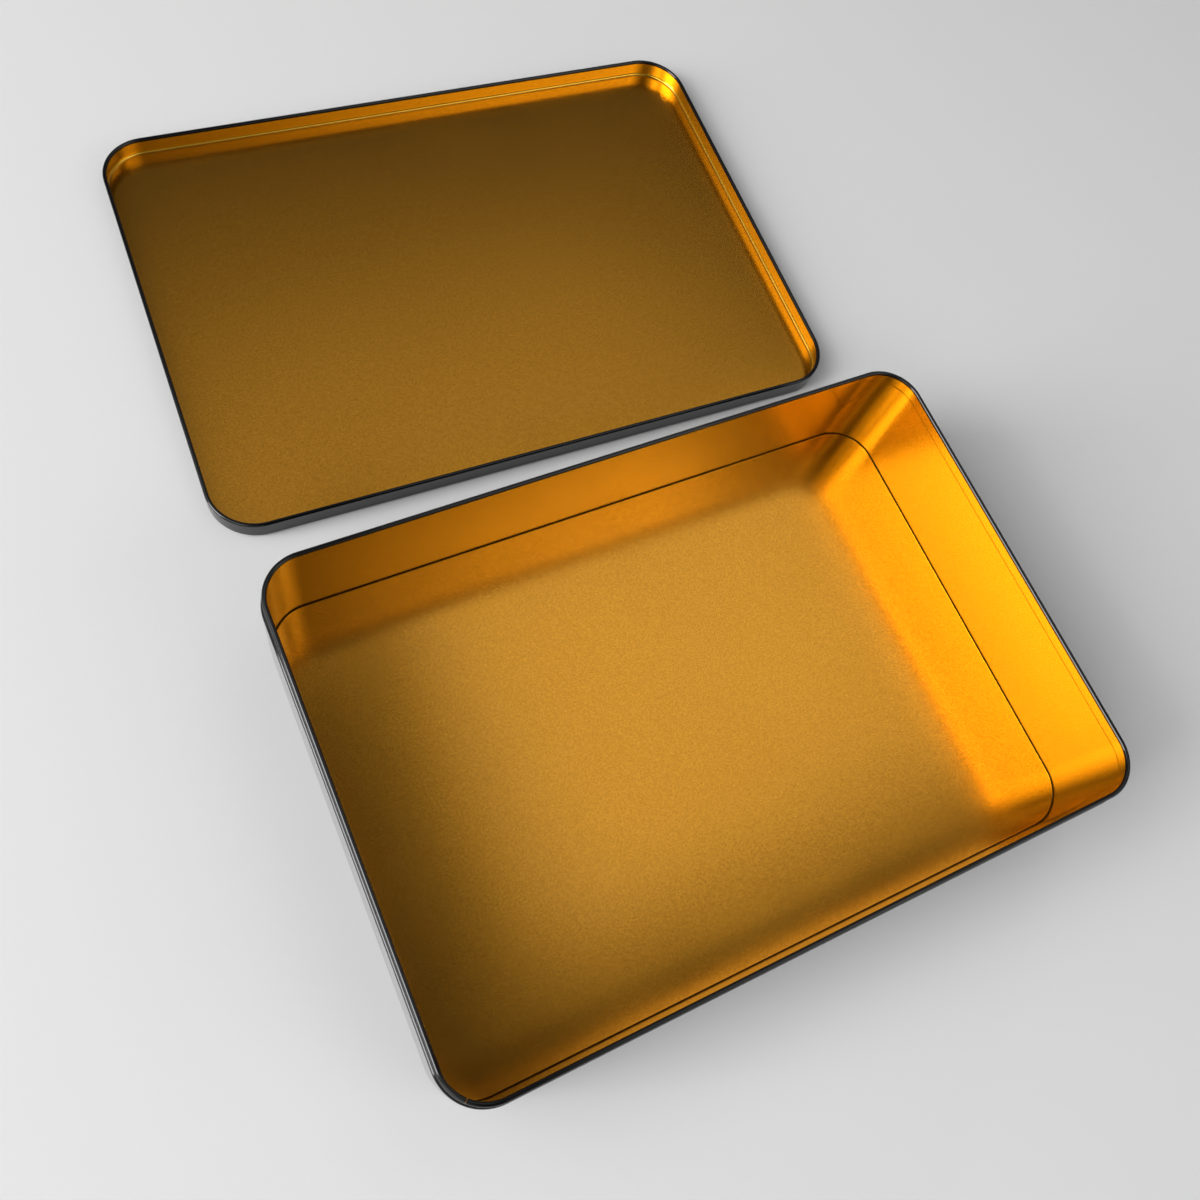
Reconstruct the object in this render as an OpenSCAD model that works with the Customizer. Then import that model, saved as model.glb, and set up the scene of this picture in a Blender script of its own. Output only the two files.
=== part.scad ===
// Card game tin with a loose slip lid, in millimetres.
// The body is a rolled strip of tinplate clinched to a flat bottom. The lid is one drawn pressing.
// The lid lies upside down on the table behind the body, as it is put down after it is lifted off.
// Each sheet-metal section is a list of moves: [length, 0] runs straight, [radius, angle] bends.

/* [Body] */
// Outside length of the body wall
body_l = 194; // [120:1:260]
// Outside width of the body wall
body_w = 135; // [90:1:180]
// Height of the body from the table to the top of the rim
body_h = 38; // [20:0.5:80]
// Outside corner radius of the body wall
corner_r = 12.5; // [8:0.5:25]
// Thickness of the tinplate
sheet = 0.25; // [0.2:0.01:0.3]

/* [Rim] */
// Outside diameter of the curl rolled inward at the top of the wall
rim_curl_d = 1.25; // [0.9:0.05:1.6]
// How far the neck under the rim stands inside the wall below it
neck_in = 0.65; // [0.5:0.05:0.8]
// Height of the neck, from the top of the rim to the shoulder
neck_h = 4.9; // [1.8:0.1:8]

/* [Bottom seam] */
// Overlap of the two hooks that clinch the wall to the bottom
hook_w = 2.5; // [1.5:0.1:4]
// Gap left between the layers of the seam
seam_gap = 0.03; // [0.01:0.01:0.06]
// Gap between a hook's free end and the fold that it points at
hook_end_gap = 0.15; // [0.1:0.05:0.4]
// Gap between the edge of the bottom and the inside of the wall
floor_gap = 0.05; // [0.03:0.01:0.2]
// Inside radius of the bend at the foot of the wall
foot_r = 0.4; // [0.35:0.01:0.42]

/* [Side seam] */
// Width of the lap where the two ends of the wall strip are joined
lap_w = 5; // [3:0.5:8]
// Width of the notch that the side seam leaves in the rim curl
notch_w = 0.6; // [0.3:0.1:1.5]
// How far the notch reaches below the curl
notch_below = 0.25; // [0.1:0.05:0.6]
// Gap between the ends of the lap and the rim neck above or the bottom below
lap_end_gap = 0.6; // [0.3:0.1:2]

/* [Lid] */
// Height of the lid, from its flat face to the edge of its skirt
lid_h = 6.6; // [5:0.1:15]
// Outside diameter of the curl rolled inward along the edge of the skirt
lid_curl_d = 1.2; // [0.9:0.05:1.6]
// Gap on each side between the lid's curl and the body wall when the lid is on
lid_fit = 0.15; // [0.1:0.05:0.4]
// Outside radius of the fold between the lid's face and its skirt
lid_fold_r = 1.1; // [0.8:0.1:2.5]

/* [Lid on the table] */
// Clear space between the body and the lid, at the middle of their long sides
lid_apart = 20; // [10:0.1:60]
// How far the middle of the lid lies to the right of the middle of the body
lid_shift = 1; // [-20:0.1:20]
// Turn of the lid on the table, anticlockwise from above
lid_turn = -2.1; // [-10:0.1:10]

/* [Hidden] */
$fn = 64;

// Parts of a full turn, and the last part of a curl, which stops short of closing
quarter = 90;
curl_end = 40;

// Heights of the layers of the bottom seam: the wall's flange lies lowest, then the hook of the
// bottom, then the return of the flange, then the bottom itself
layer = sheet + seam_gap;
floor_under = 3 * layer;
floor_top = floor_under + sheet;
hook_z = layer + sheet / 2;

// Each plate reaches this far over the section carried round it, so that the two are one solid
plate_lap = 1;

// Offsets from the outside face of the body wall, outward positive
fold_r = layer;
panel_fold = -(sheet + floor_gap + sheet / 2 + fold_r);
flange_fold = panel_fold - hook_w - hook_end_gap;
rim_inside = -(neck_in + rim_curl_d);

// The shoulder is two equal and opposite quarter bends that step the wall in by neck_in
shoulder_r = neck_in / 2;
shoulder_h = 2 * shoulder_r;
foot_mid_r = foot_r + sheet / 2;
rim_mid_r = (rim_curl_d - sheet) / 2;
neck_run = neck_h - rim_curl_d / 2;
wall_run = body_h - neck_h - shoulder_h - foot_r - sheet;

// The lid's curl clears the body wall, and its skirt stands outside the curl
lid_proud = lid_fit + lid_curl_d;
lid_l = body_l + 2 * lid_proud;
lid_w = body_w + 2 * lid_proud;
lid_corner_r = corner_r + lid_proud;
lid_mid_r = lid_fold_r - sheet / 2;
lid_curl_mid_r = (lid_curl_d - sheet) / 2;
skirt_run = lid_h - lid_fold_r - lid_curl_d / 2;

// Reach of the turned lid from its own middle, to the right and to the back
lid_reach_x = (lid_l / 2 - lid_corner_r) * cos(lid_turn)
    + (lid_w / 2 - lid_corner_r) * abs(sin(lid_turn)) + lid_corner_r;
lid_reach_y = (lid_w / 2 - lid_corner_r) * cos(lid_turn)
    + (lid_l / 2 - lid_corner_r) * abs(sin(lid_turn)) + lid_corner_r;

// The middle of the lid, seen from the middle of the body
lid_y = body_w / 2 + lid_apart + lid_w / 2;

// The origin is on the table, at the middle of the box round the body and the lid
left = min(-body_l / 2, lid_shift - lid_reach_x);
right = max(body_l / 2, lid_shift + lid_reach_x);
front = min(-body_w / 2, lid_y - lid_reach_y);
back = max(body_w / 2, lid_y + lid_reach_y);
body_at = [-(left + right) / 2, -(front + back) / 2, 0];
lid_at = body_at + [lid_shift, lid_y, 0];

// One bend of the sheet to the left, round a point straight above the start
module bend_left(radius, angle) {
    reach = 2 * (radius + sheet);
    translate([0, radius])
        intersection() {
            difference() {
                circle(r = radius + sheet / 2);
                circle(r = radius - sheet / 2);
            }
            rotate(-quarter)
                polygon([
                    [0, 0],
                    [reach, 0],
                    [reach * cos(angle / 2), reach * sin(angle / 2)] * 2,
                    [reach * cos(angle), reach * sin(angle)]
                ]);
        }
}

// The section of a sheet that follows the moves one after another, from the origin along +X
module section(moves, i = 0) {
    if (i < len(moves)) {
        size = moves[i][0];
        angle = moves[i][1];
        if (angle == 0) {
            translate([0, -sheet / 2])
                square([size, sheet]);
            translate([size, 0])
                section(moves, i + 1);
        } else {
            side = sign(angle);
            mirror([0, side < 0 ? 1 : 0])
                bend_left(size, abs(angle));
            translate([0, side * size])
                rotate(angle)
                    translate([0, -side * size])
                        section(moves, i + 1);
        }
    }
}

// Carries a section round a rectangle l by w with corners of radius r. The section's own X points
// outward from the rectangle and its Y points up.
module carried_round(l, w, r) {
    for (k = [0:3]) {
        reach = (k % 2 == 0 ? l : w) / 2;
        across = (k % 2 == 0 ? w : l) / 2;
        rotate(k * quarter) {
            translate([reach, 0, 0])
                rotate([quarter, 0, 0])
                    linear_extrude(height = 2 * (across - r), center = true)
                        children();
            translate([reach - r, across - r, 0])
                rotate_extrude(angle = quarter)
                    translate([r, 0])
                        children();
        }
    }
}

// Flat plate with round corners, its edge moved outward by grow from the rectangle l by w
module plate(l, w, r, grow) {
    linear_extrude(height = sheet)
        union() {
            square([l - 2 * r, w + 2 * grow], center = true);
            square([l + 2 * grow, w - 2 * r], center = true);
            for (x = [-1, 1], y = [-1, 1])
                translate([x * (l / 2 - r), y * (w / 2 - r)])
                    circle(r = r + grow);
        }
}

// Turns to the corner of the body wall where the side seam runs
module at_side_seam() {
    translate([-(body_l / 2 - corner_r), -(body_w / 2 - corner_r), 0])
        rotate(180 + quarter / 2)
            children();
}

// The wall strip: clinched foot, upright wall, shoulder, neck and inward rim curl. The lap of its
// side seam starts halfway through the wall, so that the two are one solid.
module body_wall() {
    flange_run = -flange_fold - foot_r - sheet;
    moves = [
        [hook_w, 0], [fold_r, quarter], [fold_r, quarter],
        [flange_run, 0], [foot_mid_r, quarter], [wall_run, 0],
        [shoulder_r, quarter], [shoulder_r, -quarter], [neck_run, 0],
        [rim_mid_r, quarter], [rim_mid_r, quarter], [rim_mid_r, quarter], [rim_mid_r, curl_end]
    ];
    notch_h = rim_curl_d + notch_below;
    lap_low = floor_top + lap_end_gap;
    lap_high = body_h - neck_h - shoulder_h - lap_end_gap;
    lap_angle = lap_w / corner_r * 180 / PI;
    color("goldenrod")
        translate(body_at) {
            difference() {
                carried_round(body_l, body_w, corner_r)
                    translate([flange_fold + hook_w, sheet / 2 + 2 * fold_r])
                        rotate(2 * quarter)
                            section(moves);
                at_side_seam()
                    translate([corner_r + rim_inside - 1, -notch_w / 2, body_h - notch_h])
                        cube([rim_curl_d + neck_in + 2, notch_w, notch_h + 1]);
            }
            at_side_seam()
                rotate(-lap_angle / 2)
                    rotate_extrude(angle = lap_angle)
                        translate([corner_r - 2 * sheet, lap_low])
                            square([1.5 * sheet, lap_high - lap_low]);
        }
}

// The flat bottom, its edge folded under and hooked into the foot of the wall
module bottom_panel() {
    moves = [[plate_lap, 0], [fold_r, -quarter], [fold_r, -quarter], [hook_w, 0]];
    color("darkgoldenrod")
        translate(body_at) {
            translate([0, 0, floor_under])
                plate(body_l, body_w, corner_r, panel_fold);
            carried_round(body_l, body_w, corner_r)
                translate([panel_fold - plate_lap, floor_under + sheet / 2])
                    section(moves);
        }
}

// The drawn lid, face down: flat face, soft fold, skirt and inward edge curl
module lid() {
    moves = [
        [plate_lap, 0], [lid_mid_r, quarter], [skirt_run, 0],
        [lid_curl_mid_r, quarter], [lid_curl_mid_r, quarter],
        [lid_curl_mid_r, quarter], [lid_curl_mid_r, curl_end]
    ];
    color("peru")
        translate(lid_at)
            rotate(lid_turn) {
                plate(lid_l, lid_w, lid_corner_r, -lid_fold_r);
                carried_round(lid_l, lid_w, lid_corner_r)
                    translate([-lid_fold_r - plate_lap, sheet / 2])
                        section(moves);
            }
}

body_wall();
bottom_panel();
lid();
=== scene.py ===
"""A tinplate card game tin, open, with its slip lid lying face down behind it.

The three pieces are sheets of tinplate: black enamel outside, gold lacquer inside. Each one is a bent
section carried round a rectangle with round corners. Lengths are in metres, and MM turns the sizes
that a maker would read off a drawing into metres.
"""

import math

import bpy
import numpy as np
from mathutils import Matrix, Vector


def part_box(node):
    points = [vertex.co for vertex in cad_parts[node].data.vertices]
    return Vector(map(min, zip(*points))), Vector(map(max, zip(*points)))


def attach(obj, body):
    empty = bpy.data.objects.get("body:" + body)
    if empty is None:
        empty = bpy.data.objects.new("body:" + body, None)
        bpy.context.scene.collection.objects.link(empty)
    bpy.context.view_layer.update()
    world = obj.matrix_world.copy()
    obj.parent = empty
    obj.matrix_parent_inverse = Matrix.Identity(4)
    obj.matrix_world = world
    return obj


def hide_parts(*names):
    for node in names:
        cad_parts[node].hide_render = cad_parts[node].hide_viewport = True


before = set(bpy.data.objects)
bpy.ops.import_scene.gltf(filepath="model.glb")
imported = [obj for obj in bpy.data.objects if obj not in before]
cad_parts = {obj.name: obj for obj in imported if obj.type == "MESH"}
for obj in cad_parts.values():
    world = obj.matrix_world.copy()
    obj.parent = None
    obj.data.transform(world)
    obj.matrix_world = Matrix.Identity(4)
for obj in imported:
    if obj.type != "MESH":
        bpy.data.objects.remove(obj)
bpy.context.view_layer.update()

MM = 0.001


# ---- Camera ----------------------------------------------------------------------------------------
# A short lens held in the hand above the near left corner of the tin, tilted down and turned about
# its own axis, as the edges of the photograph give it.

EYE = Vector((-106.9, -124.8, 289.9)) * MM
LOOKS_AT = Vector((-7.4, -39.8, 0.0)) * MM
ROLL = math.radians(27.1)
FOCAL_MM = 33.05
SENSOR_MM = 36.0

camera_data = bpy.data.cameras.new("camera")
camera_data.lens = FOCAL_MM
camera_data.sensor_width = SENSOR_MM
camera_data.clip_start = 0.01
camera_data.clip_end = 50.0
camera = bpy.data.objects.new("camera", camera_data)
camera.matrix_world = (
    Matrix.Translation(EYE)
    @ (LOOKS_AT - EYE).to_track_quat("-Z", "Y").to_matrix().to_4x4()
    @ Matrix.Rotation(ROLL, 4, "Z")
)
bpy.context.scene.collection.objects.link(camera)
bpy.context.scene.camera = camera


# ---- Body wall -------------------------------------------------------------------------------------
# One strip of 0.25 mm tinplate rolled into a box. Its foot is folded inward and back to clinch the
# bottom, and its top is necked in and rolled inward, so the enamelled outside shows on the rim.
# The strip's ends meet in a lapped side seam at the near left corner, where the curl is notched.

SHEET = 0.25 * MM
LAYER = SHEET + 0.03 * MM  # a sheet and the gap to the next one in the bottom seam
BODY_CORNER = 12.5 * MM
RIM_CURL = 1.25 * MM
NECK_IN = 0.65 * MM
NECK_HIGH = 4.9 * MM
SHOULDER_TURN = 60.0
FOOT_BEND = 0.525 * MM
HOOK = 2.5 * MM
PANEL_FOLD = -(SHEET + 0.05 * MM + SHEET / 2 + LAYER)
FLANGE_FOLD = PANEL_FOLD - HOOK - 0.15 * MM
CURL_TURN = 310.0
NOTCH_WIDE = 0.6 * MM
NOTCH_BELOW_CURL = 0.25 * MM
LAP_WIDE = 5.0 * MM
LAP_LOW = 1.7 * MM  # height of the lap's lower end, just over the bottom
LAP_SHORT = 0.6 * MM  # gap between the lap's upper end and the shoulder
SEAM_ANGLE = 225.0
WALL_BOW = 0.12 * MM

wall_low, wall_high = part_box("body_wall")
body_length, body_width, body_height = wall_high - wall_low
body_middle = (wall_low + wall_high) / 2


def round_path(length, width, corner, also=()):
    """Points and outward normals round a rectangle with round corners, anticlockwise from above.

    On corner k the angle a runs from 90k to 90k + 90 degrees: the normal is (cos a, sin a), and the
    point is the corner's centre plus the radius times the normal. Straight runs join the corners.
    The angles in also are added to the even ones.
    """
    reach = [length / 2 - corner, width / 2 - corner]
    centres = np.array([[1, 1], [-1, 1], [-1, -1], [1, -1]]) * reach
    near_end = 0.4 * MM
    points, normals = [], []
    for k, centre in enumerate(centres):
        angles = np.linspace(90 * k, 90 * k + 90, 21)
        extra = [a for a in also if 90 * k < a < 90 * k + 90]
        angles = np.radians(np.union1d(angles, extra))
        normal = np.stack([np.cos(angles), np.sin(angles)], axis=1)
        arc = centre + corner * normal
        run_to = centres[(k + 1) % 4] + corner * normal[-1]
        run = np.linalg.norm(run_to - arc[-1])
        along = np.concatenate([[near_end], np.linspace(0, run, 26)[1:-1], [run - near_end]]) / run
        straight = arc[-1] + along[:, None] * (run_to - arc[-1])
        points += [arc, straight]
        normals += [normal, np.repeat(normal[-1:], len(straight), axis=0)]
    return np.concatenate(points), np.concatenate(normals)


def bent_line(start, heading, moves):
    """Middle line of a bent sheet and its left-hand unit normals, as arrays of (outward, up).

    Each move is (length, 0) for a straight run or (radius, angle) for a bend, left when the angle is
    positive. On a bend the point turns about the centre that lies a radius to the side, and the
    heading turns by the same angle.
    """
    at, turned = np.array(start, float), heading
    line, normals = [at.copy()], [[-math.sin(math.radians(turned)), math.cos(math.radians(turned))]]
    for size, angle in moves:
        ahead = np.array([math.cos(math.radians(turned)), math.sin(math.radians(turned))])
        left = np.array([-ahead[1], ahead[0]])
        if angle == 0:
            edge = min(0.15 * MM, size / 4)
            inner = np.linspace(0, size, 2 + int(size / (4 * MM)))[1:-1]
            steps = np.unique(np.concatenate([[edge], inner, [size - edge, size]]))
            line += list(at + steps[:, None] * ahead)
            normals += [left] * len(steps)
            at = at + size * ahead
        else:
            side = math.copysign(1, angle)
            centre = at + side * size * left
            part = np.radians(np.linspace(0, angle, 2 + int(abs(angle) / 9))[1:])
            arm = -side * left
            cos, sin = np.cos(part)[:, None], np.sin(part)[:, None]
            arms = cos * arm + sin * np.array([-arm[1], arm[0]])
            line += list(centre + size * arms)
            normals += list(-side * arms)
            at, turned = centre + size * arms[-1], turned + angle
    return np.array(line), np.array(normals)


def sheet_rows(line, normals, scale=None):
    """Rows of a sheet's closed section: its right side from start to end, then its left side back.

    A row is (outward, up, scale): half the sheet's thickness along the normal from the middle line.
    """
    scale = np.ones(len(line)) if scale is None else scale
    right = np.column_stack([line - normals * SHEET / 2, scale])
    left = np.column_stack([line + normals * SHEET / 2, scale])
    return np.concatenate([right, left[::-1]])


def ring_mesh(name, path, rows, middle, materials, closed=True, poles=False, notch=None, shape=None):
    """A sheet-metal mesh whose point (i, j) is scale_i * (P_j + outward_i * N_j) at height up_i.

    P and N are the path's points and normals. The first material is the sheet's right side, the second
    its left side and the third its cut edges. poles closes both ends of the rows at the middle.
    notch = (first row, column) takes the cell after that column out above that row, and walls it.
    shape(x, y, z, normal x, normal y, scale) gives moves of the points along x, y and z.
    """
    points, normals = path
    count, turns = len(rows), len(points)
    half = count // 2
    flat = rows[:, 2, None, None] * (points[None] + rows[:, 0, None, None] * normals[None])
    grid = np.concatenate([flat, np.repeat(rows[:, 1, None, None], turns, axis=1)], axis=2)
    if shape is not None:
        scale = np.repeat(rows[:, 2, None], turns, axis=1)
        wide = np.broadcast_to(normals[None], flat.shape)
        grid += np.stack(shape(*np.moveaxis(grid, 2, 0), *np.moveaxis(wide, 2, 0), scale), axis=2)
    vertices = grid.reshape(-1, 3)
    row = np.arange(count if not poles else count - 1)
    column = np.arange(turns if closed else turns - 1)
    i, j = np.meshgrid(row, column, indexing="ij")
    up, across = (i + 1) % count, (j + 1) % turns
    quads = np.stack([i * turns + j, i * turns + across, up * turns + across, up * turns + j], axis=2)
    kinds = np.where(i == half - 1, 2, np.where(i < half - 1, 0, 1))
    if not poles:
        kinds = np.where(i == count - 1, 2, kinds)
    keep = np.ones(i.shape, bool)
    caps = []
    if notch is not None:
        first, cut = notch
        keep[(i >= first) & (i < count - 1 - first) & (j == cut)] = False
        k = np.arange(first, half - 1)
        pairs = np.stack([k, k + 1, count - 2 - k, count - 1 - k], axis=1) * turns
        floor = np.array([[first, first, count - 1 - first, count - 1 - first]]) * turns
        caps = [pairs[:, ::-1] + cut, pairs + cut + 1, floor + [cut, cut + 1, cut + 1, cut]]
    if not closed:
        k = np.arange(half - 1)
        pairs = np.stack([k, k + 1, count - 2 - k, count - 1 - k], axis=1) * turns
        caps = [pairs, pairs[:, ::-1] + turns - 1]
    faces = [*quads[keep].tolist(), *np.concatenate(caps).tolist()] if caps else quads[keep].tolist()
    kinds = np.concatenate([kinds[keep], np.full(len(faces) - keep.sum(), 2)])
    if poles:
        ends = vertices[[0, -1]] * [0, 0, 1]
        base = len(vertices)
        vertices = np.concatenate([vertices, ends])
        j = np.arange(turns)
        last = (count - 1) * turns
        under = np.stack([np.full(turns, base), (j + 1) % turns, j], axis=1)
        over = np.stack([np.full(turns, base + 1), last + j, last + (j + 1) % turns], axis=1)
        faces += under.tolist() + over.tolist()
        kinds = np.concatenate([kinds, np.zeros(turns, int), np.ones(turns, int)])
    mesh = bpy.data.meshes.new(name)
    mesh.from_pydata((vertices + [middle[0], middle[1], 0]).tolist(), [], faces)
    for material in materials:
        mesh.materials.append(material)
    mesh.polygons.foreach_set("material_index", kinds.astype(np.int32))
    mesh.shade_smooth()
    mesh.set_sharp_from_angle(angle=math.radians(40))
    mesh.update()
    made = bpy.data.objects.new(name, mesh)
    bpy.context.scene.collection.objects.link(made)
    return made


def linear(hex_colour):
    """Linear RGBA of an sRGB hex colour."""
    parts = [int(hex_colour[k : k + 2], 16) / 255 for k in (1, 3, 5)]
    return [c / 12.92 if c <= 0.04045 else ((c + 0.055) / 1.055) ** 2.4 for c in parts] + [1.0]


def node(tree, kind, links=(), **settings):
    """Adds a node. settings set its sockets by name, or its own properties where no socket has the
    name, and links are (socket of this node, another node, that node's output)."""
    made = tree.nodes.new("ShaderNode" + kind)
    for key, value in settings.items():
        socket = made.inputs.get(key.replace("_", " "))
        if socket is not None:
            socket.default_value = value
        else:
            setattr(made, key, value)
    for name, other, output in links:
        tree.links.new(other.outputs[output], made.inputs[name])
    return made


def start_material(name):
    """An empty node material and its tree."""
    material = bpy.data.materials.new(name)
    material.use_nodes = True
    material.node_tree.nodes.clear()
    return material, material.node_tree


# Gold lacquer: a clear coat with a gold dye, stoved onto bright rolled tinplate. It mirrors what is
# close and blurs what is far, with a fine even grain from the rolled steel under it. In the
# photograph the upright sides are smoother and yellower than the flats, so they get a copy of the
# lacquer in their own tone: painted light, since sides and flats carry the same lacquer and differ
# only in the light that falls on them.
# The second, wide lobe stands for the light that the grain of the steel spreads.
GOLD_GRAIN = 0.42 * MM
GOLD_CLOUD = 45 * MM
ROUGH_SPREAD = 0.02  # the roughness wanders this far either way from cloud to cloud
WIDE_LOBE = 0.15  # share of the light that the wide lobe spreads


def lacquered(name, dark, light, rough):
    """Lacquered tinplate between two tones of gold, that its grain mixes."""
    material, tree = start_material(name)
    place = node(tree, "TexCoord")
    on_piece = [("Vector", place, "Object")]
    grain = node(tree, "TexNoise", on_piece, Scale=1 / GOLD_GRAIN, Detail=2.0, Roughness=0.6)
    cloud = node(tree, "TexNoise", on_piece, Scale=1 / GOLD_CLOUD, Detail=3.0, Roughness=0.5)
    tint = node(tree, "MapRange", [("Value", grain, "Fac")], From_Min=0.3, From_Max=0.7)
    colour = node(tree, "Mix", [("Factor", tint, "Result")], data_type="RGBA")
    colour.inputs[6].default_value = linear(dark)
    colour.inputs[7].default_value = linear(light)
    blur = node(
        tree,
        "MapRange",
        [("Value", cloud, "Fac")],
        From_Min=0.3,
        From_Max=0.7,
        To_Min=rough - ROUGH_SPREAD,
        To_Max=rough + ROUGH_SPREAD,
    )
    bump = node(tree, "Bump", [("Height", grain, "Fac")], Strength=0.08, Distance=0.02 * MM)
    surface = node(
        tree,
        "BsdfPrincipled",
        [("Roughness", blur, "Result"), ("Normal", bump, "Normal")],
        Metallic=1.0,
        Coat_Weight=0.1,
        Coat_Roughness=0.06,
        Coat_IOR=1.5,
    )
    spread = node(tree, "BsdfPrincipled", [("Normal", bump, "Normal")], Metallic=1.0, Roughness=0.4)
    for lobe in (surface, spread):
        tree.links.new(colour.outputs[2], lobe.inputs["Base Color"])
    both = node(tree, "MixShader", [(1, surface, "BSDF"), (2, spread, "BSDF")], Fac=WIDE_LOBE)
    node(tree, "OutputMaterial", [("Surface", both, "Shader")])
    return material


gold_lacquer = lacquered("gold_lacquer", "#d8962f", "#f2ae3e", 0.20)
# A yellower, smoother copy of the gold lacquer for upright faces: painted light on the sides, not a second
# lacquer
gold_lacquer_side_painted_light = lacquered("gold_lacquer_side_painted_light", "#e1bc37", "#efca41", 0.17)

# Black enamel: a stoved black ground under gloss varnish, with a faint orange peel.
PEEL = 1.6 * MM
black_enamel, tree = start_material("black_enamel")
place = node(tree, "TexCoord")
peel = node(tree, "TexNoise", [("Vector", place, "Object")], Scale=1 / PEEL, Detail=1.0)
wear = node(tree, "TexNoise", [("Vector", place, "Object")], Scale=1 / (9 * MM), Detail=4.0)
dull = node(tree, "MapRange", [("Value", wear, "Fac")], From_Min=0.35, From_Max=0.7, To_Min=0.05, To_Max=0.09)
bump = node(tree, "Bump", [("Height", peel, "Fac")], Strength=0.05, Distance=0.02 * MM)
surface = node(
    tree,
    "BsdfPrincipled",
    [("Roughness", dull, "Result"), ("Normal", bump, "Normal")],
    Base_Color=linear("#060607"),
    IOR=1.5,
)
node(tree, "OutputMaterial", [("Surface", surface, "BSDF")])

# Cut edge: bare tinplate where the sheet was slit, bright but drawn by the shear. The same bare tin
# is put on the crest of the bottom plate's fold as a painted highlight.
cut_edge_and_crest_highlight, tree = start_material("cut_tinplate_edge_and_crest_highlight")
place = node(tree, "TexCoord")
drag = node(tree, "TexNoise", [("Vector", place, "Object")], Scale=1 / (0.3 * MM), Detail=2.0)
dull = node(tree, "MapRange", [("Value", drag, "Fac")], To_Min=0.3, To_Max=0.5)
surface = node(
    tree, "BsdfPrincipled", [("Roughness", dull, "Result")], Base_Color=linear("#a9a8a2"), Metallic=1.0
)
node(tree, "OutputMaterial", [("Surface", surface, "BSDF")])

# Seam shade: painted shade, a dark brown on the bottom plate's fold below its crest, standing for the shadow
# in the gap of the bottom seam
seam_painted_shade, tree = start_material("seam_painted_shade")
place = node(tree, "TexCoord")
shade_roughness_noise = node(tree, "TexNoise", [("Vector", place, "Object")], Scale=1 / (0.8 * MM), Detail=3.0)
dull = node(tree, "MapRange", [("Value", shade_roughness_noise, "Fac")], To_Min=0.35, To_Max=0.7)
surface = node(
    tree, "BsdfPrincipled", [("Roughness", dull, "Result")], Base_Color=linear("#2c1707"), IOR=1.5
)
node(tree, "OutputMaterial", [("Surface", surface, "BSDF")])

shoulder_radius = NECK_IN / (2 * (1 - math.cos(math.radians(SHOULDER_TURN))))
shoulder_high = 2 * shoulder_radius * math.sin(math.radians(SHOULDER_TURN))
neck_run = NECK_HIGH - RIM_CURL / 2
wall_run = body_height - NECK_HIGH - shoulder_high - FOOT_BEND - SHEET / 2
flange_run = -FLANGE_FOLD - FOOT_BEND - SHEET / 2
wall_moves = [
    (HOOK, 0),
    (LAYER, 180),
    (flange_run, 0),
    (FOOT_BEND, 90),
    (wall_run, 0),
    (shoulder_radius, SHOULDER_TURN),
    (shoulder_radius, -SHOULDER_TURN),
    (neck_run, 0),
    ((RIM_CURL - SHEET) / 2, CURL_TURN),
]
line, normals = bent_line((FLANGE_FOLD + HOOK, SHEET / 2 + 2 * LAYER), 180.0, wall_moves)
wall_rows = sheet_rows(line, normals)
notch_half = math.degrees(NOTCH_WIDE / 2 / BODY_CORNER)
notch_sides = (SEAM_ANGLE - notch_half, SEAM_ANGLE + notch_half)
wall_path = round_path(body_length, body_width, BODY_CORNER, notch_sides)
path_angle = np.degrees(np.arctan2(wall_path[1][:, 1], wall_path[1][:, 0])) % 360
notch_column = int(np.argmin(abs(path_angle - notch_sides[0])))
above = line[:, 1] > body_height - RIM_CURL - NOTCH_BELOW_CURL
notch_row = int(np.argmax(above))


def bowed(x, y, z, normal_x, normal_y, scale):
    """The wall's sides draw in by WALL_BOW in their middle: a half sine along and a half sine up."""
    half_x, half_y = body_length / 2 - BODY_CORNER, body_width / 2 - BODY_CORNER
    along_x = np.cos(np.clip(x / half_x, -1, 1) * np.pi / 2) * (abs(normal_y) > 0.999)
    along_y = np.cos(np.clip(y / half_y, -1, 1) * np.pi / 2) * (abs(normal_x) > 0.999)
    high = np.sin(np.clip(z / body_height, 0, 1) * np.pi)
    depth = -WALL_BOW * high * (along_x + along_y)
    return depth * normal_x, depth * normal_y, 0 * z


# The wall's inside takes the sides' copy of the lacquer, whose yellower tone is painted light
wall = ring_mesh(
    "body_wall_strip",
    wall_path,
    wall_rows,
    body_middle,
    [black_enamel, gold_lacquer_side_painted_light, cut_edge_and_crest_highlight],
    notch=(notch_row, notch_column),
    shape=bowed,
)
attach(wall, "tin_body")

# The lap of the side seam, one more thickness of the strip inside the corner
lap_half = math.degrees(LAP_WIDE / 2 / BODY_CORNER)
angles = np.radians(np.linspace(SEAM_ANGLE - lap_half, SEAM_ANGLE + lap_half, 9))
lap_normal = np.stack([np.cos(angles), np.sin(angles)], axis=1)
lap_centre = -np.array([body_length / 2 - BODY_CORNER, body_width / 2 - BODY_CORNER])
lap_high = body_height - NECK_HIGH - shoulder_high - LAP_SHORT
line, normals = bent_line((-1.5 * SHEET, LAP_LOW), 90.0, [(lap_high - LAP_LOW, 0)])
# The lap also takes the sides' copy of the lacquer, whose yellower tone is painted light
lap = ring_mesh(
    "side_seam_lap",
    (lap_centre + BODY_CORNER * lap_normal, lap_normal),
    sheet_rows(line, normals),
    body_middle,
    [gold_lacquer_side_painted_light, gold_lacquer_side_painted_light, cut_edge_and_crest_highlight],
    closed=False,
)
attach(lap, "tin_body")
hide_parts("body_wall")
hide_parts("body_wall")


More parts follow.
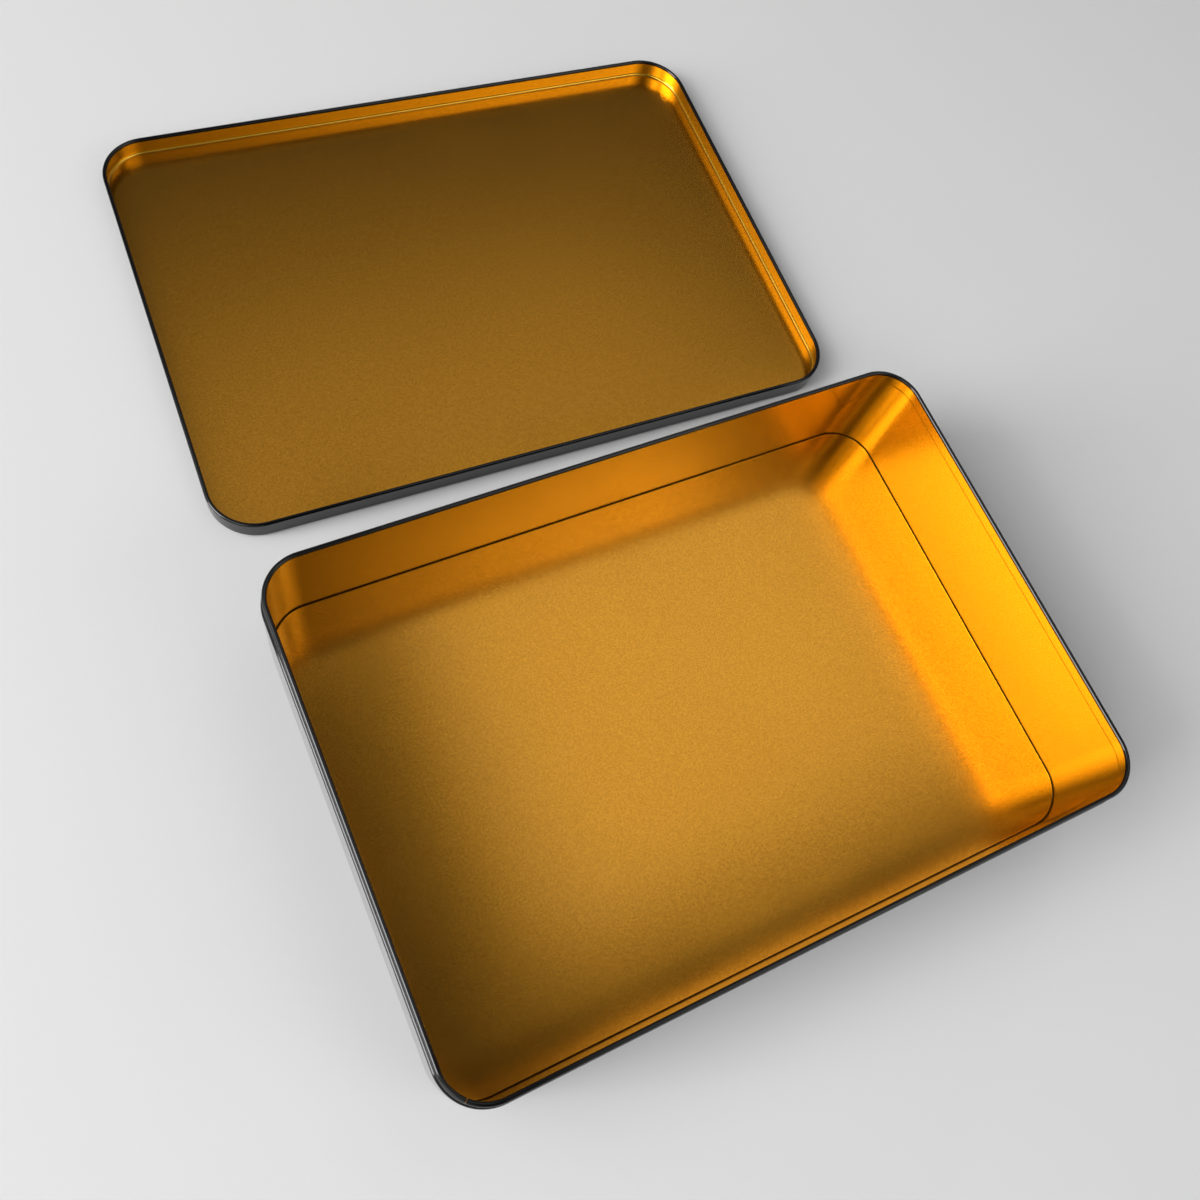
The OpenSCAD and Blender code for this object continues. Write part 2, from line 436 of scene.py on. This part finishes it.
# ---- Bottom panel ----------------------------------------------------------------------------------
# The flat bottom, a plate of the same tinplate. Its edge is folded under and hooked into the foot of
# the wall, so a gap and the fold beside it run all round the floor. The gap's dark is painted shade on
# the fold's lower faces, and the fold's bright crest is a painted highlight in bare tin's colour.

FLOOR_WAVE = 0.05 * MM
LEVEL_EDGE = 8 * MM  # the band at a plate's edge that stays level
# Depth under the fold's top within which the crest takes bare tin's colour as a painted highlight
PAINTED_HIGHLIGHT_DEPTH = 0.02 * MM
floor_up = 3 * LAYER + SHEET / 2
floor_path = round_path(body_length, body_width, BODY_CORNER)
inner_scale = np.concatenate([np.linspace(0, 1, 26)[1:-1] ** 0.8, [0.997]])


def plate_rows(edge, up, moves):
    """Rows of a plate with a bent edge: rings scaled from the middle out to the edge, then the bends."""
    line, normals = bent_line((edge, up), 0.0, moves)
    inner = np.repeat([[edge, up]], len(inner_scale), axis=0)
    line = np.concatenate([inner, line])
    normals = np.concatenate([np.repeat([[0.0, 1.0]], len(inner_scale), axis=0), normals])
    scale = np.concatenate([inner_scale, np.ones(len(line) - len(inner_scale))])
    return sheet_rows(line, normals, scale)


def slightly_wavy(height, reach_x, reach_y):
    """Moves for a plate that isn't quite flat: up to height, from two crossed sines, level at its edge."""

    def move(x, y, z, normal_x, normal_y, scale):
        fade = (1 - np.clip(x / reach_x, -1, 1) ** 2) * (1 - np.clip(y / reach_y, -1, 1) ** 2)
        wave = np.sin(x / (0.31 * reach_x) + 0.6) * np.cos(y / (0.45 * reach_y) - 0.4)
        return 0 * x, 0 * y, height * fade * wave

    return move


flat_tin = [black_enamel, gold_lacquer, cut_edge_and_crest_highlight]
bottom = ring_mesh(
    "bottom_plate",
    floor_path,
    plate_rows(PANEL_FOLD, floor_up, [(LAYER, -180), (HOOK, 0)]),
    body_middle,
    flat_tin,
    poles=True,
    shape=slightly_wavy(FLOOR_WAVE, body_length / 2 - LEVEL_EDGE, body_width / 2 - LEVEL_EDGE),
)

# Below its crest the fold takes a dark brown as painted shade for the seam gap, and its crest takes bare
# tin's colour as a painted highlight
bottom.data.materials.append(seam_painted_shade)
for face in bottom.data.polygons:
    below_top = floor_up + SHEET / 2 - face.center.z
    if face.material_index == 1 and face.normal.z < 0.97:
        face.material_index = 3 if below_top > PAINTED_HIGHLIGHT_DEPTH else 2
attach(bottom, "tin_body")
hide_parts("bottom_panel")


# ---- Lid -------------------------------------------------------------------------------------------
# One shallow pressing, drawn in a single stroke and trimmed, its edge rolled inward. It lies face
# down on the table, turned about two degrees, so its gold inside shows in a ring of black curl.

LID_HIGH = 6.6 * MM
LID_CURL = 1.2 * MM
LID_FIT = 0.15 * MM
LID_FOLD = 1.1 * MM
LID_TURN = math.radians(-2.1)
LID_WAVE = 0.1 * MM

lid_low, lid_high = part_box("lid")
lid_middle = (lid_low + lid_high) / 2
lid_proud = LID_FIT + LID_CURL
lid_length, lid_width = body_length + 2 * lid_proud, body_width + 2 * lid_proud
lid_fold_middle = LID_FOLD - SHEET / 2
lid_rows = plate_rows(
    -LID_FOLD,
    SHEET / 2,
    [
        (lid_fold_middle, 90),
        (LID_HIGH - LID_FOLD - LID_CURL / 2, 0),
        ((LID_CURL - SHEET) / 2, CURL_TURN),
    ],
)
points, normals = round_path(lid_length, lid_width, BODY_CORNER + lid_proud)
cos, sin = math.cos(LID_TURN), math.sin(LID_TURN)
turn = np.array([[cos, sin], [-sin, cos]])
wavy = slightly_wavy(LID_WAVE, lid_length / 2 - LEVEL_EDGE, lid_width / 2 - LEVEL_EDGE)


def upward_only(*grid):
    """The lid's waves, kept above the table that it lies on."""
    move_x, move_y, move_z = wavy(*grid)
    return move_x, move_y, abs(move_z)


lid = ring_mesh(
    "lid_pressing",
    (points @ turn, normals @ turn),
    lid_rows,
    lid_middle,
    flat_tin,
    poles=True,
    shape=upward_only,
)

# The skirt is upright, so it takes the sides' copy of the lacquer, whose yellower tone is painted light
lid.data.materials.append(gold_lacquer_side_painted_light)
for face in lid.data.polygons:
    if face.material_index == 1 and face.center.z > LID_FOLD / 2:
        face.material_index = 3
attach(lid, "lid")
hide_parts("lid")


# ---- Floor, lamps and room -------------------------------------------------------------------------
# A pale sheet of matt paper under soft boxes that hang face down at one height, the main one to the
# left, and one that stands upright. The dim room between them gives the lacquer its dark tones.

floor_mesh = bpy.data.meshes.new("studio_floor")
reach = 6.0
corners = [(-reach, -reach, 0), (reach, -reach, 0), (reach, reach, 0), (-reach, reach, 0)]
floor_mesh.from_pydata(corners, [], [(0, 1, 2, 3)])
paper, tree = start_material("matt_paper")
place = node(tree, "TexCoord")
tooth = node(tree, "TexNoise", [("Vector", place, "Object")], Scale=1 / (1.5 * MM), Detail=2.0)
bump = node(tree, "Bump", [("Height", tooth, "Fac")], Strength=0.04, Distance=0.05 * MM)
surface = node(
    tree, "BsdfPrincipled", [("Normal", bump, "Normal")], Base_Color=linear("#dcdcdc"), Roughness=0.8
)
surface.inputs["Specular IOR Level"].default_value = 0.2
node(tree, "OutputMaterial", [("Surface", surface, "BSDF")])
floor_mesh.materials.append(paper)
studio_floor = bpy.data.objects.new("studio_floor", floor_mesh)
bpy.context.scene.collection.objects.link(studio_floor)

HANG = 1.2  # height of the soft boxes over the floor


def soft_box(name, left, right, front, back, radiance, soften):
    """A lamp over the rectangle left to right, front to back, that fades to nothing at its edges.

    soften is the width of the fade at each of the four edges. The fade is a smooth step of the
    distance from the edge, and the four fades are multiplied.
    """
    data = bpy.data.lights.new(name, "AREA")
    data.shape = "RECTANGLE"
    data.size, data.size_y = right - left, back - front
    data.energy = radiance * math.pi * data.size * data.size_y
    data.use_nodes = True
    tree = data.node_tree
    tree.nodes.clear()
    place = node(tree, "NewGeometry")
    split = node(tree, "SeparateXYZ", [("Vector", place, "Parametric")])
    level = node(tree, "Value")
    level.outputs["Value"].default_value = 1.0
    for axis, size, fades in (("X", data.size, soften[:2]), ("Y", data.size_y, soften[2:])):
        for width, from_edge in zip(fades, (0.0, 1.0)):
            inward = from_edge + math.copysign(width / size, 0.5 - from_edge)
            fade = node(
                tree,
                "MapRange",
                [("Value", split, axis)],
                interpolation_type="SMOOTHSTEP",
                From_Min=from_edge,
                From_Max=inward,
            )
            level = node(tree, "Math", [(0, level, "Value"), (1, fade, "Result")], operation="MULTIPLY")
    glow = node(tree, "Emission", [("Strength", level, "Value")])
    node(tree, "OutputLight", [("Surface", glow, "Emission")])
    lamp = bpy.data.objects.new(name, data)
    lamp.location = (left + right) / 2, (front + back) / 2, HANG
    bpy.context.scene.collection.objects.link(lamp)


soft_box("soft_box_main", -1.9, -0.13, -0.55, 1.35, 4.0, (0.3, 1.2, 0.4, 0.9))
soft_box("soft_box_over", 0.05, 1.05, -0.21, 0.6, 0.82, (0.15, 0.15, 0.14, 0.17))
soft_box("soft_box_front", -0.18, 0.7, -0.71, -0.29, 4.3, (1.16, 0.1, 0.33, 0.14))
soft_box("soft_box_back", -0.25, 1.23, 0.34, 1.43, 0.58, (0.25, 0.7, 0.12, 1.2))
soft_box("soft_box_low", -0.21, 2.3, -2.1, -0.87, 2.2, (1.2, 0.6, 0.3, 0.12))
soft_box("soft_box_corner", -1.9, -0.62, -1.5, -0.1, 4.0, (0.3, 0.4, 0.5, 0.45))
soft_box("soft_box_streak", -0.8, -0.3, -1.15, -0.6, 0.9, (0.2, 0.25, 0.2, 0.2))

# One more soft box stands upright at the left, and draws the bright lines along the curls
side = bpy.data.lights.new("soft_box_side", "AREA")
side.shape = "RECTANGLE"
side.size, side.size_y = 1.2, 1.6
side.energy = 10.0 * math.pi * side.size * side.size_y
side_lamp = bpy.data.objects.new("soft_box_side", side)
side_lamp.location = -2.4, 0.2, 0.95
side_lamp.rotation_euler = (-side_lamp.location).to_track_quat("-Z", "Y").to_euler()
bpy.context.scene.collection.objects.link(side_lamp)

# The room is dim overhead and lighter low down
world = bpy.data.worlds.new("room")
bpy.context.scene.world = world
world.use_nodes = True
tree = world.node_tree
tree.nodes.clear()
place = node(tree, "TexCoord")
split = node(tree, "SeparateXYZ", [("Vector", place, "Generated")])
ramp = node(tree, "ValToRGB", [("Fac", split, "Z")])
ramp.color_ramp.elements[0].position = 0.35
ramp.color_ramp.elements[0].color = (0.3, 0.3, 0.3, 1)
ramp.color_ramp.elements[1].position = 0.65
ramp.color_ramp.elements[1].color = (0.02, 0.02, 0.02, 1)
room = node(tree, "Background", [("Color", ramp, "Color")], Strength=1.0)
node(tree, "OutputWorld", [("Surface", room, "Background")])

bpy.context.scene.view_settings.view_transform = "Standard"
